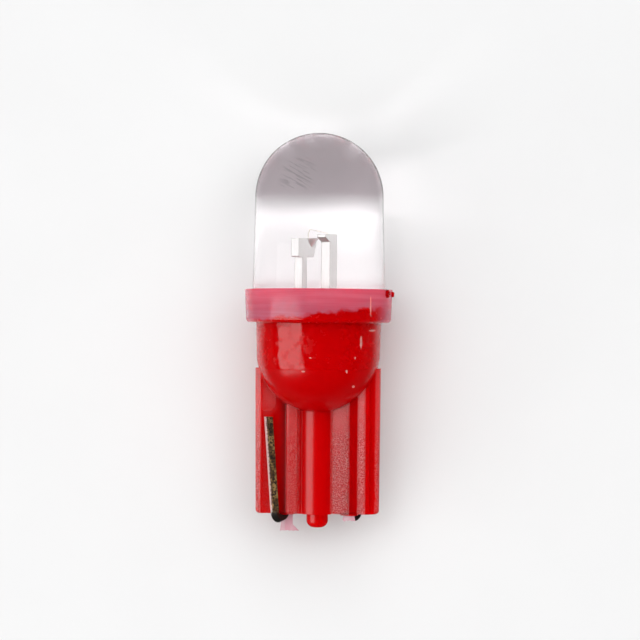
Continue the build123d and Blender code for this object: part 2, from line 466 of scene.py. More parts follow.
def point(tree):
    """Where the shaded point lies in the frame."""
    return node(tree, "ShaderNodeTexCoord").outputs["Object"]


def split(tree, vector):
    """The three numbers of a vector, by the names X, Y and Z."""
    return node(tree, "ShaderNodeSeparateXYZ", {0: vector}).outputs


def noise_at(tree, where, scale, detail=2.0):
    inputs = {"Vector": where, "Scale": scale, "Detail": detail}
    return node(tree, "ShaderNodeTexNoise", inputs).outputs["Fac"]


def mix_colour(tree, factor, first, second):
    """Mixes two colours. A mix of colours has them on its sockets 6 and 7, and its result on 2."""
    inputs = {0: factor, 6: first, 7: second}
    return node(tree, "ShaderNodeMix", inputs, data_type="RGBA").outputs[2]


def span(tree, value, low, high, to_low=0.0, to_high=1.0):
    """Maps a value from one span to another along a smooth step."""
    made = node(tree, "ShaderNodeMapRange", interpolation_type="SMOOTHSTEP")
    feed(tree, made, Value=value, From_Min=low, From_Max=high, To_Min=to_low, To_Max=to_high)
    return made.outputs[0]


def rgba(colour):
    return (colour[0], colour[1], colour[2], 1.0)


def group(name, inputs, outputs):
    """Starts a node group with named inputs and outputs. Returns it with its two end nodes."""
    tree = bpy.data.node_groups.new(name, "ShaderNodeTree")
    for label, kind, default in inputs:
        socket = tree.interface.new_socket(label, in_out="INPUT", socket_type=kind)
        socket.default_value = default
    for label, kind in outputs:
        tree.interface.new_socket(label, in_out="OUTPUT", socket_type=kind)
    return tree, node(tree, "NodeGroupInput"), node(tree, "NodeGroupOutput")


def use(tree, group_tree, **inputs):
    """Places a node group in a material with its own values."""
    made = node(tree, "ShaderNodeGroup", node_tree=group_tree)
    feed(tree, made, **inputs)
    return made


def grain_group():
    """Grain of a moulded or plated surface: a fine mottle that can be stretched one way."""
    inputs = (
        ("Scale", "NodeSocketFloat", 5000.0),
        ("Stretch", "NodeSocketVector", (1.0, 1.0, 1.0)),
        ("Detail", "NodeSocketFloat", 3.0),
        ("Low", "NodeSocketFloat", 0.4),
        ("High", "NodeSocketFloat", 0.6),
    )
    outputs = (("Mask", "NodeSocketFloat"), ("Height", "NodeSocketFloat"))
    tree, start, end = group("Grain", inputs, outputs)
    stretched = vector_maths(tree, "MULTIPLY", point(tree), start.outputs["Stretch"])
    speckle = noise_at(tree, stretched, start.outputs["Scale"], start.outputs["Detail"])
    mask = span(tree, speckle, start.outputs["Low"], start.outputs["High"])
    tree.links.new(mask, end.inputs["Mask"])
    tree.links.new(speckle, end.inputs["Height"])
    return tree


def speck_group():
    """Small scattered specks, such as dust or pits."""
    inputs = (
        ("Scale", "NodeSocketFloat", 1500.0),
        ("Size", "NodeSocketFloat", 0.1),
        ("Share", "NodeSocketFloat", 0.2),
    )
    tree, start, end = group("Specks", inputs, (("Mask", "NodeSocketFloat"),))
    inputs = {"Vector": point(tree), "Scale": start.outputs["Scale"]}
    cells = node(tree, "ShaderNodeTexVoronoi", inputs)
    near = maths(tree, "LESS_THAN", cells.outputs["Distance"], start.outputs["Size"])
    pick = node(tree, "ShaderNodeSeparateColor", {0: cells.outputs["Color"]}).outputs[0]
    chosen = maths(tree, "LESS_THAN", pick, start.outputs["Share"])
    tree.links.new(maths(tree, "MULTIPLY", near, chosen), end.inputs["Mask"])
    return tree


def zone_group():
    """How far up the bulb a point lies: 0 below one height, 1 above another, ragged between."""
    inputs = (
        ("From", "NodeSocketFloat", 0.0),
        ("To", "NodeSocketFloat", 1.0),
        ("Ragged", "NodeSocketFloat", 0.0),
        ("Scale", "NodeSocketFloat", 800.0),
        ("Slope", "NodeSocketFloat", 0.0),
    )
    tree, start, end = group("Zone", inputs, (("Mask", "NodeSocketFloat"),))
    where = point(tree)
    parts = split(tree, where)
    sloped = maths(tree, "MULTIPLY", parts["X"], start.outputs["Slope"])
    along = maths(tree, "ADD", parts["Y"], sloped)
    wave = noise_at(tree, where, start.outputs["Scale"])
    shift = maths(tree, "MULTIPLY", maths(tree, "SUBTRACT", wave, 0.5), start.outputs["Ragged"])
    height = maths(tree, "ADD", along, shift)
    mask = span(tree, height, start.outputs["From"], start.outputs["To"])
    tree.links.new(mask, end.inputs["Mask"])
    return tree


def strip_group():
    """A strip that runs up both faces of the blade, between two distances from its middle line."""
    inputs = (
        ("From", "NodeSocketFloat", 0.0),
        ("To", "NodeSocketFloat", 0.001),
        ("Soft", "NodeSocketFloat", 0.0001),
    )
    tree, start, end = group("Strip", inputs, (("Mask", "NodeSocketFloat"),))
    parts = split(tree, point(tree))
    out = maths(tree, "SUBTRACT", parts["Z"], AXIS_Z)
    across = maths(tree, "MULTIPLY", parts["X"], maths(tree, "SIGN", out))
    near = maths(tree, "LESS_THAN", maths(tree, "ABSOLUTE", out), 1.25 * MM)
    low, high, soft = (start.outputs[label] for label in ("From", "To", "Soft"))
    first = span(tree, across, low, maths(tree, "ADD", low, soft))
    last = span(tree, across, maths(tree, "ADD", high, soft), high)
    strip = maths(tree, "MULTIPLY", maths(tree, "MULTIPLY", first, last), near)
    tree.links.new(strip, end.inputs["Mask"])
    return tree


def glow_group():
    """A soft round light in the sky: brightest in one direction, with a smooth fall-off."""
    inputs = (
        ("Direction", "NodeSocketVector", (0.0, 0.0, 1.0)),
        ("Tightness", "NodeSocketFloat", 40.0),
        ("Strength", "NodeSocketFloat", 1.0),
    )
    tree, start, end = group("Sky Light", inputs, (("Level", "NodeSocketFloat"),))
    way = node(tree, "ShaderNodeTexCoord").outputs["Generated"]
    nearness = vector_maths(tree, "DOT_PRODUCT", way, start.outputs["Direction"])
    off = maths(tree, "SUBTRACT", nearness, 1.0)
    off = maths(tree, "MULTIPLY", off, start.outputs["Tightness"])
    level = maths(tree, "MULTIPLY", maths(tree, "EXPONENT", off), start.outputs["Strength"])
    tree.links.new(level, end.inputs["Level"])
    return tree


def edge_group():
    """Rounds the look of sharp edges by a small radius."""
    inputs = (("Radius", "NodeSocketFloat", 0.05 * MM),)
    tree, start, end = group("Soft Edges", inputs, (("Normal", "NodeSocketVector"),))
    bevel = node(tree, "ShaderNodeBevel", {"Radius": start.outputs["Radius"]}, samples=4)
    tree.links.new(bevel.outputs[0], end.inputs["Normal"])
    return tree


def new_material(name):
    made = bpy.data.materials.new(name)
    made.use_nodes = True
    tree = made.node_tree
    return made, tree, tree.nodes["Principled BSDF"]


def bump(tree, height, distance, strength=1.0, normal=None):
    inputs = {"Height": height, "Distance": distance, "Strength": strength}
    if normal is not None:
        inputs["Normal"] = normal
    return node(tree, "ShaderNodeBump", inputs).outputs[0]


def above(tree, groups, low, high, ragged=0.0, scale=800.0, slope=0.0):
    """Mask that rises from 0 to 1 between two heights of the bulb, in millimetres."""
    zone = use(tree, groups["zone"], From=FOOT_Y + low * MM, To=FOOT_Y + high * MM)
    feed(tree, zone, Slope=slope, Ragged=ragged * MM, Scale=scale)
    return zone.outputs["Mask"]


# Materials

# Tones of the red plastic: pale grains of its frosted faces, which also paint the sheen of their
# strips, streaks in the thin collar's painted glow, and pale specks, which also paint small glints
FROST_AND_SHEEN = (0.78, 0.27, 0.27, 1.0)
THIN_GLOW_STREAK = (0.55, 0.148, 0.215, 1.0)
PALE_SPECK_AND_GLINT = (0.82, 0.33, 0.3, 1.0)
# Tones of the wires: darker stamped edges, tarnish, pits, a painted highlight along one side and
# the painted shade of the bend
DARK_EDGE_TONE = (0.36, 0.3, 0.28, 1.0)
DEEP_TARNISH = (0.09, 0.045, 0.018, 1.0)
PIT = (0.012, 0.010, 0.008, 1.0)
WIRE_SIDE_HIGHLIGHT = (0.84, 0.76, 0.72, 1.0)
BEND_SHADE = (0.015, 0.012, 0.01, 1.0)
# How pale the frosted faces are painted, as their sheen, where their grain is too fine to see
SMOOTH_FROST_SHEEN = 0.38
# Frosted strips of a blade's face, placed where its sheen falls and painted pale as that sheen:
# from and to, in millimetres across, and how frosted they are
FROST_AND_SHEEN_STRIPS = (
    (0.95, 2.3, 1.5),
    (3.0, 3.5, 2.0),
    (4.3, 4.85, 0.9),
    (-2.35, -1.5, 0.9),
    (-4.9, -4.45, 2.0),
    (-4.4, -3.6, 0.18),
)
# Pale nicks and painted highlights on the front of the cup. The first is a painted light line on
# the collar, the second a painted reflection of a strip of light, and the others are small pale
# specks that paint glints: across, height, half width and half length in millimetres
NICKS_AND_GLINTS = (
    (4.07, 15.85, 0.05, 0.75),
    (3.36, 13.13, 0.08, 0.45),
    (4.16, 14.0, 0.22, 0.07),
    (-0.34, 11.95, 0.08, 0.07),
    (-0.88, 10.95, 0.13, 0.06),
    (2.33, 10.95, 0.07, 0.12),
    (2.79, 9.8, 0.1, 0.09),
    (2.94, 11.95, 0.05, 0.09),
)
# Middle of the patch of fine dark lines painted on the dome as a reflection: across, in front of
# the axis, height
REFLECTED_LINES_MIDDLE = (-1.5 * MM, 4.5 * MM, 25.6 * MM)
# Left side of the front wire, along which its painted highlight runs: its place across at the
# foot, and its lean across per unit of height
WIRE_SIDE = -3.52 * MM
WIRE_LEAN = 0.0708
# Small inner pieces: finish, material, two tones, roughness and metallic
INNER_FINISHES = (
    ("glue", "die_glue", (0.6, 0.6, 0.62), (0.4, 0.4, 0.42), 0.35, 0.6),
    ("chip", "chip", (0.5, 0.45, 0.2), (0.35, 0.3, 0.12), 0.15, 0.0),
    ("gold", "gold", (0.95, 0.88, 0.78), (0.92, 0.83, 0.7), 0.2, 0.4),
    ("ceramic", "ceramic", (0.8, 0.77, 0.7), (0.7, 0.66, 0.6), 0.6, 0.0),
    ("cap", "end_cap", (0.7, 0.69, 0.66), (0.5, 0.48, 0.45), 0.25, 1.0),
    ("solder", "solder", (0.7, 0.7, 0.72), (0.55, 0.55, 0.57), 0.18, 1.0),
)
# Painted bands of the resistor: lower and upper edge, as heights in millimetres, and colour
BANDS = (
    (12.35, 12.6, (0.30, 0.02, 0.02, 1.0)),
    (13.0, 13.25, (0.12, 0.04, 0.02, 1.0)),
    (13.65, 13.9, (0.10, 0.03, 0.25, 1.0)),
)


def nicks_and_glints_mask(tree):
    """Mask of the few small nicks and painted highlights on the front of the cup."""
    where = point(tree)
    wave = noise_at(tree, where, 4000.0)
    mask = 0.0
    for across, height, half_width, half_length in NICKS_AND_GLINTS:
        off = vector_maths(tree, "SUBTRACT", where, place(across * MM, 0.0, height * MM))
        shape = (1.0 / (half_width * MM), 1.0 / (half_length * MM), 0.0)
        away = vector_maths(tree, "LENGTH", vector_maths(tree, "MULTIPLY", off, shape))
        near = span(tree, maths(tree, "ADD", away, wave), 1.7, 1.3)
        mask = maths(tree, "MAXIMUM", near, mask)
    in_front = maths(tree, "GREATER_THAN", split(tree, where)["Z"], AXIS_Z)
    return maths(tree, "MULTIPLY", mask, in_front)


def frost_and_sheen_masks(tree, groups, blade):
    """Frost of the blade: how frosted a place is, and the pale grains in it, coarser low down. The
    pale grains paint the sheen of its strips.
    """
    frost = use(tree, groups["grain"], Scale=13500.0, Detail=1.0, Low=0.42, High=0.6)
    frosted = 0.0
    for low, high, share in FROST_AND_SHEEN_STRIPS:
        strip = use(tree, groups["strip"], From=low * MM, To=high * MM, Soft=0.25 * MM)
        frosted = maths(tree, "MULTIPLY_ADD", strip.outputs["Mask"], share, frosted)
    # The upper left channel is painted paler above the wire's end, as painted sheen on its frost
    haze_sheen = use(tree, groups["strip"], From=-4.5 * MM, To=-3.4 * MM, Soft=0.4 * MM)
    haze_sheen = maths(tree, "MULTIPLY", haze_sheen.outputs["Mask"], above(tree, groups, 7.4, 8.6))
    frosted = maths(tree, "MULTIPLY_ADD", haze_sheen, 0.7, frosted)
    frosted = maths(tree, "MULTIPLY", frosted, blade)
    even = above(tree, groups, 5.0, 7.5, ragged=3.0, scale=500.0)
    even = maths(tree, "MULTIPLY", even, 0.85)
    grain_sheen = maths(tree, "SUBTRACT", SMOOTH_FROST_SHEEN, frost.outputs["Mask"])
    grain_sheen = maths(tree, "MULTIPLY_ADD", grain_sheen, even, frost.outputs["Mask"])
    return frosted, maths(tree, "MULTIPLY", grain_sheen, frosted)


def red_plastic(name, groups, colours, has_glowing_rim=True):
    """Red plastic: polished on the cup, frosted on the blade with painted sheen on its strips, and
    pink at the thin collar with painted light shining through it.
    """
    made, tree, shader = new_material(name)
    grain = groups["grain"]
    streaks = use(tree, grain, Scale=700.0, Stretch=(0.2, 5.0, 0.2), Low=0.35, High=0.7)
    mottle = use(tree, grain, Scale=2600.0, Detail=3.0)
    dents = use(tree, grain, Scale=1000.0, Detail=2.0)
    patches = use(tree, grain, Scale=1700.0, Detail=5.0, Low=0.46, High=0.68)
    specks = use(tree, groups["specks"], Scale=900.0, Size=0.075, Share=0.03)

    blade = maths(tree, "SUBTRACT", 1.0, above(tree, groups, 11.0, 11.1))
    frosted, frost_sheen_dots = frost_and_sheen_masks(tree, groups, blade)
    # Painted sheen: the blade's strips are painted pale with frost grains where its sheen falls
    tone = mix_colour(tree, maths(tree, "MULTIPLY", frost_sheen_dots, 0.6), rgba(colours.red_plastic), FROST_AND_SHEEN)
    rough = maths(tree, "ADD", maths(tree, "MULTIPLY", frosted, 0.12), 0.07)
    rough = maths(tree, "ADD", rough, maths(tree, "MULTIPLY", blade, 0.16))
    polish = maths(tree, "SUBTRACT", 1.0, blade)
    if has_glowing_rim:
        # Painted light: above this height the collar is painted pale pink, as light shining
        # through its thin wall
        thin = above(tree, groups, 15.05, 15.4, ragged=0.8, scale=1500.0, slope=-0.1)
        # At its two sides the collar is painted pale down to its lower rim: painted reflection
        side_reflection = maths(tree, "ABSOLUTE", split(tree, point(tree))["X"])
        side_reflection = span(tree, side_reflection, 4.3 * MM, 5.3 * MM)
        ends = maths(tree, "MULTIPLY", above(tree, groups, 14.3, 14.5), side_reflection)
        thin = maths(tree, "MAXIMUM", thin, maths(tree, "MULTIPLY", ends, 0.85))
        thin_glow_tone = rgba(colours.thin_plastic_glow)
        thin_glow_tone = mix_colour(tree, streaks.outputs["Mask"], thin_glow_tone, THIN_GLOW_STREAK)
        tone = mix_colour(tree, thin, tone, thin_glow_tone)
        rough = maths(tree, "ADD", rough, maths(tree, "MULTIPLY", thin, 0.15))
        polish = maths(tree, "MULTIPLY", polish, maths(tree, "SUBTRACT", 1.0, thin))
    worn = maths(tree, "MULTIPLY", patches.outputs["Mask"], polish)
    rough = maths(tree, "ADD", rough, maths(tree, "MULTIPLY", worn, 0.3))
    # Dust specks, with the painted highlights and glints of the nicks list
    specks_and_glints = maths(tree, "MULTIPLY", specks.outputs["Mask"], polish)
    specks_and_glints = maths(tree, "MAXIMUM", specks_and_glints, nicks_and_glints_mask(tree))
    tone = mix_colour(tree, specks_and_glints, tone, PALE_SPECK_AND_GLINT)

    soft = use(tree, groups["edges"], Radius=0.07 * MM).outputs["Normal"]
    dented = maths(tree, "MULTIPLY", dents.outputs["Height"], polish)
    wavy = bump(tree, dented, 0.03 * MM, 0.7, soft)
    wavy = bump(tree, mottle.outputs["Height"], 0.008 * MM, 0.5, wavy)
    normal = bump(tree, frost_sheen_dots, 0.045 * MM, 1.0, wavy)
    feed(tree, shader, Base_Color=tone, Roughness=rough, Normal=normal, IOR=1.68)
    feed(tree, shader, Subsurface_Weight=1.0, Subsurface_Scale=4.0 * MM)
    feed(tree, shader, Subsurface_Radius=(1.0, 0.1, 0.1))
    return made


def flash_plastic(groups, colours):
    """The red plastic as a sheet so thin that it is pale and lets light through."""
    made, tree, shader = new_material("flash_plastic")
    grain = groups["grain"]
    streaks = use(tree, grain, Scale=1500.0, Stretch=(2.0, 0.5, 1.0), Low=0.35, High=0.65)
    tone = rgba(colours.flash_plastic)
    tone = mix_colour(tree, streaks.outputs["Mask"], tone, (0.75, 0.5, 0.55, 1.0))
    normal = bump(tree, streaks.outputs["Height"], 0.02 * MM)
    feed(tree, shader, Base_Color=tone, Roughness=0.35, Normal=normal, Alpha=0.8)
    return made


def clear_epoxy(groups, colours):
    """Clear cast epoxy with a faint pink-grey tint painted on the dome as its shade, and a patch
    of fine dark lines painted on it as a reflection.
    """
    made, tree, shader = new_material("clear_epoxy")
    ripple = use(tree, groups["grain"], Scale=260.0, Stretch=(1.0, 0.25, 1.0), Detail=1.0)
    normal = bump(tree, ripple.outputs["Height"], 0.01 * MM, 0.25)
    # Painted reflection: a patch of fine dark lines on the dome
    off = vector_maths(tree, "SUBTRACT", point(tree), place(*REFLECTED_LINES_MIDDLE))
    patch = span(tree, vector_maths(tree, "LENGTH", off), 1.8 * MM, 0.9 * MM)
    inputs = {0: off, "Angle": math.radians(28)}
    turned = node(tree, "ShaderNodeVectorRotate", inputs, rotation_type="Z_AXIS").outputs[0]
    drawn = vector_maths(tree, "MULTIPLY", turned, (0.08, 1.0, 0.08))
    lines = noise_at(tree, drawn, 6500.0)
    reflected_lines = maths(tree, "MULTIPLY", span(tree, lines, 0.5, 0.6), patch)
    # The dome is tinted pink-grey: painted shade
    dome = above(tree, groups, 23.6, 24.6)
    tone = mix_colour(tree, dome, rgba(colours.clear_body), rgba(colours.dome_shade_tint))
    tone = mix_colour(tree, reflected_lines, tone, (0.66, 0.62, 0.65, 1.0))
    feed(tree, shader, Base_Color=tone, Roughness=0.0, Normal=normal, IOR=1.53)
    feed(tree, shader, Transmission_Weight=1.0, Specular_Tint=(0.4, 0.4, 0.4, 1.0))
    return made


def plated_metal(groups, colours):
    """Plated iron: bright inside the clear body, tarnished and pitted where it leaves the base,
    with a painted highlight along one side and painted shade at the bend.
    """
    made, tree, shader = new_material("plated_metal")
    inside = above(tree, groups, 15.4, 15.6)
    outside = maths(tree, "SUBTRACT", 1.0, inside)
    grain = groups["grain"]
    blotch = use(tree, grain, Scale=2600.0, Stretch=(1.0, 0.7, 1.0), Low=0.38, High=0.56)
    feed(tree, blotch, Detail=4.0)
    pits = use(tree, grain, Scale=6500.0, Detail=3.0, Low=0.47, High=0.58)
    drawn = use(tree, grain, Scale=3000.0, Stretch=(3.0, 0.2, 3.0), Detail=2.0)
    bright = rgba(colours.bright_metal)
    bright = mix_colour(tree, drawn.outputs["Mask"], bright, (0.87, 0.85, 0.84, 1.0))
    dark = mix_colour(tree, blotch.outputs["Mask"], rgba(colours.tarnish), DEEP_TARNISH)
    dark = mix_colour(tree, pits.outputs["Mask"], dark, PIT)
    # Each wire has a painted highlight along one side, and its bend is painted black as shade
    parts = split(tree, point(tree))
    facing = maths(tree, "SIGN", maths(tree, "SUBTRACT", parts["Z"], AXIS_Z))
    across = maths(tree, "MULTIPLY", parts["X"], facing)
    along = maths(tree, "SUBTRACT", parts["Y"], FOOT_Y)
    inward = maths(tree, "SUBTRACT", across, WIRE_SIDE)
    inward = maths(tree, "MULTIPLY_ADD", along, WIRE_LEAN, inward)
    inward = maths(tree, "MULTIPLY_ADD", pits.outputs["Mask"], 0.06 * MM, inward)
    side_highlight = span(tree, inward, 0.21 * MM, 0.14 * MM)
    dark = mix_colour(tree, side_highlight, dark, WIRE_SIDE_HIGHLIGHT)
    clear_of_bend_shade = above(tree, groups, -0.1, 0.35, ragged=0.2, scale=2000.0)
    dark = mix_colour(tree, clear_of_bend_shade, BEND_SHADE, dark)
    edge = maths(tree, "ADD", maths(tree, "MULTIPLY", outside, 0.07 * MM), 0.05 * MM)
    soft = use(tree, groups["edges"], Radius=edge).outputs["Normal"]
    # Inside, the plating is darker along the stamped edges
    flat = node(tree, "ShaderNodeNewGeometry").outputs["True Normal"]
    turned = vector_maths(tree, "DOT_PRODUCT", soft, flat)
    bright = mix_colour(tree, span(tree, turned, 0.995, 0.93, 0.0, 0.85), bright, DARK_EDGE_TONE)
    tone = mix_colour(tree, outside, bright, dark)
    rough = maths(tree, "ADD", maths(tree, "MULTIPLY", outside, 0.15), 0.2)
    pitted = maths(tree, "MULTIPLY", pits.outputs["Mask"], outside)
    rough = maths(tree, "ADD", rough, maths(tree, "MULTIPLY", pitted, 0.2))
    height = maths(tree, "MULTIPLY", pits.outputs["Height"], outside)
    normal = bump(tree, height, 0.03 * MM, 0.8, soft)
    metallic = maths(tree, "SUBTRACT", 0.45, maths(tree, "MULTIPLY", outside, 0.25))
    feed(tree, shader, Base_Color=tone, Roughness=rough, Normal=normal, Metallic=metallic)
    return made


def inner_finish(name, groups, first, second, roughness, metallic):
    """A finish for the small inner pieces: two tones, fine grain and soft edges."""
    made, tree, shader = new_material(name)
    grain = use(tree, groups["grain"], Scale=2500.0, Detail=3.0, Low=0.38, High=0.66)
    tone = mix_colour(tree, grain.outputs["Mask"], rgba(first), rgba(second))
    soft = use(tree, groups["edges"], Radius=0.04 * MM).outputs["Normal"]
    normal = bump(tree, grain.outputs["Height"], 0.01 * MM, 0.6, soft)
    rough = maths(tree, "ADD", maths(tree, "MULTIPLY", grain.outputs["Mask"], 0.12), roughness)
    feed(tree, shader, Base_Color=tone, Roughness=rough, Metallic=metallic, Normal=normal)
    return made


def resistor_lacquer(groups):
    """Sand-coloured lacquer with three painted bands round the resistor's coat."""
    made, tree, shader = new_material("resistor_lacquer")
    grain = use(tree, groups["grain"], Scale=1800.0, Detail=2.0, Low=0.35, High=0.7)
    sand, pale_sand = (0.62, 0.47, 0.28, 1.0), (0.70, 0.56, 0.36, 1.0)
    tone = mix_colour(tree, grain.outputs["Mask"], sand, pale_sand)
    for low, high, colour in BANDS:
        over = above(tree, groups, low, low + 0.04)
        under = above(tree, groups, high, high + 0.04)
        band = maths(tree, "SUBTRACT", over, under)
        tone = mix_colour(tree, band, tone, colour)
    normal = bump(tree, grain.outputs["Height"], 0.01 * MM, 0.5)
    feed(tree, shader, Base_Color=tone, Roughness=0.25, Normal=normal)
    return made


def paper_floor(groups, colours):
    """Matt pale paper with a faint mottle of fibres."""
    made, tree, shader = new_material("paper_floor")
    fibre = use(tree, groups["grain"], Scale=90.0, Detail=4.0, Low=0.3, High=0.75)
    darker = rgba([part * 0.985 for part in colours.paper])
    tone = mix_colour(tree, fibre.outputs["Mask"], rgba(colours.paper), darker)
    # In reflections the paper is painted darker away from the bulb, down to black far off: painted
    # shade in what the gloss shows
    path = node(tree, "ShaderNodeLightPath").outputs
    reflected_shade = path["Is Glossy Ray"]
    reflected_shade = maths(tree, "SUBTRACT", reflected_shade, path["Is Transmission Ray"], clamp=True)
    where = vector_maths(tree, "MULTIPLY_ADD", point(tree), (1.0, 1.3, 0.0), (2.5 * MM, 0.0, 0.0))
    away = vector_maths(tree, "LENGTH", where)
    share = span(tree, away, 7.0 * MM, 21.0 * MM, 0.15, 0.97)
    tone = mix_colour(tree, maths(tree, "MULTIPLY", reflected_shade, share), tone, (0.0, 0.0, 0.0, 1.0))
    feed(tree, shader, Base_Color=tone, Roughness=0.9, Specular_IOR_Level=0.2)
    return made


# Shape of the base

ROUND_STEPS = 3
FLANGE_BOTTOM = 15.56 * MM
FLANGE_PLAY = 0.04 * MM
COLLAR_WALL = 0.4 * MM
COLLAR_OVERHANG = 0.86 * MM
COLLAR_EDGE = 0.3 * MM
COLLAR_RIM = 0.04 * MM
CUP_WALL = 1.0 * MM
CUP_FLOOR = 10.5 * MM
NUB_LENGTH = 1.07 * MM
NUB_ROUND = 0.55 * MM
HOLE_ACROSS = 2.45 * MM
HOLE_BACK = 0.2 * MM
HOLE_RADIUS = 0.42 * MM
HOLE_MOUTH_RADIUS = 0.7 * MM
HOLE_MOUTH_DEPTH = 0.18 * MM
BLADE_TOP = 11.1 * MM
BLADE_DRAFT = math.tan(math.radians(0.4))
SIDE_ROUND = 0.8 * MM
FOOT_ROUND = 0.25 * MM
CHANNEL_OUTER = 4.3 * MM
CHANNEL_INNER = 2.37 * MM
CHANNEL_FLOOR = 0.45 * MM
FLAT_RIB_INNER = 1.51 * MM
GROOVE_FLOOR = 0.7 * MM
PAD_START = 1.05 * MM
PAD_OUTER = 4.0 * MM
STEP_FLOOR = 0.75 * MM
# Rows of the blade: the close ones at its foot, in millimetres, and how many steps make the rest
FOOT_HEIGHTS = (0.0, 0.02, 0.06, 0.12, 0.2, 0.3, 0.4)
BLADE_STEPS = 60
# Line of the wide pad's face, from its inner to its outer edge, in millimetres: place across,
# and how far it lies below its highest line
PAD_SHAPE = (
    (1.13, 0.34), (1.25, 0.285), (1.45, 0.205), (1.7, 0.12), (1.95, 0.05), (2.15, 0.012),
    (2.35, 0.0), (2.6, 0.01), (2.85, 0.05), (3.0, 0.1), (3.1, 0.12), (3.2, 0.11), (3.35, 0.07),
    (3.5, 0.03), (3.65, 0.006), (3.75, 0.0),
)


def blade_outline(half_width, half_thick, rib_radius):
    """Outline of the blade's section: one face, then the same face turned half round."""
    left = (-half_width + SIDE_ROUND, half_thick - SIDE_ROUND)
    right = (half_width - SIDE_ROUND, half_thick - SIDE_ROUND)
    land = math.degrees(math.acos((-CHANNEL_OUTER - left[0]) / SIDE_ROUND))
    step = math.degrees(math.asin((STEP_FLOOR - right[1]) / SIDE_ROUND))
    edge = left[1] + SIDE_ROUND * math.sin(math.radians(land))
    corners = [(-half_width, 0.0, 0)]
    corners += [(x, z, 0) for x, z in arc(SIDE_ROUND, 180, land + 6, 8, left)]
    corners += [
        (-CHANNEL_OUTER, edge, 0.04 * MM),
        (-CHANNEL_OUTER, CHANNEL_FLOOR, 0.08 * MM),
        (-(CHANNEL_OUTER + CHANNEL_INNER) / 2, CHANNEL_FLOOR, 0),
        (-CHANNEL_INNER, CHANNEL_FLOOR, 0.08 * MM),
        (-CHANNEL_INNER, half_thick, 0.2 * MM),
        (-CHANNEL_INNER * 0.6 - FLAT_RIB_INNER * 0.4, half_thick, 0),
        (-FLAT_RIB_INNER, half_thick, 0.09 * MM),
        (-FLAT_RIB_INNER, GROOVE_FLOOR, 0.05 * MM),
    ]
    groove_end = math.degrees(math.asin(GROOVE_FLOOR / rib_radius))
    corners.append((-rib_radius * math.cos(math.radians(groove_end)), GROOVE_FLOOR, 0.03 * MM))
    pad_start = math.degrees(math.acos(PAD_START / rib_radius)) - 3
    corners += [
        (x, z, 0) for x, z in arc(rib_radius, 180 - groove_end - 4, pad_start + 3, 28, (0.0, 0.0))
    ]
    corners += [(x * MM, half_thick - drop * MM, 0) for x, drop in PAD_SHAPE]
    corners += [
        (PAD_OUTER, half_thick, 0.1 * MM),
        (PAD_OUTER, STEP_FLOOR, 0.05 * MM),
    ]
    corners += [(x, z, 0) for x, z in arc(SIDE_ROUND, step, 0, 8, right)]
    face = soften(corners)
    return face + [(-x, -z) for x, z in face]


def blade_mesh(name, sizes):
    """The ribbed blade, drafted towards its bottom edge and rounded there."""
    heights = [height * MM for height in FOOT_HEIGHTS]
    heights += [BLADE_TOP * step / BLADE_STEPS for step in range(3, BLADE_STEPS + 1)]
    rows = []
    for height in heights:
        sink = (BLADE_TOP - height) * BLADE_DRAFT
        if height < FOOT_ROUND:
            lift = FOOT_ROUND - height
            sink += FOOT_ROUND - math.sqrt(FOOT_ROUND**2 - lift**2)
        half_width = sizes.blade_width / 2 - sink
        half_thick = sizes.blade_thickness / 2 - sink
        outline = blade_outline(half_width, half_thick, sizes.rib_radius)
        rows.append([place(x, z, height) for x, z in outline])
    return loft(name, rows)


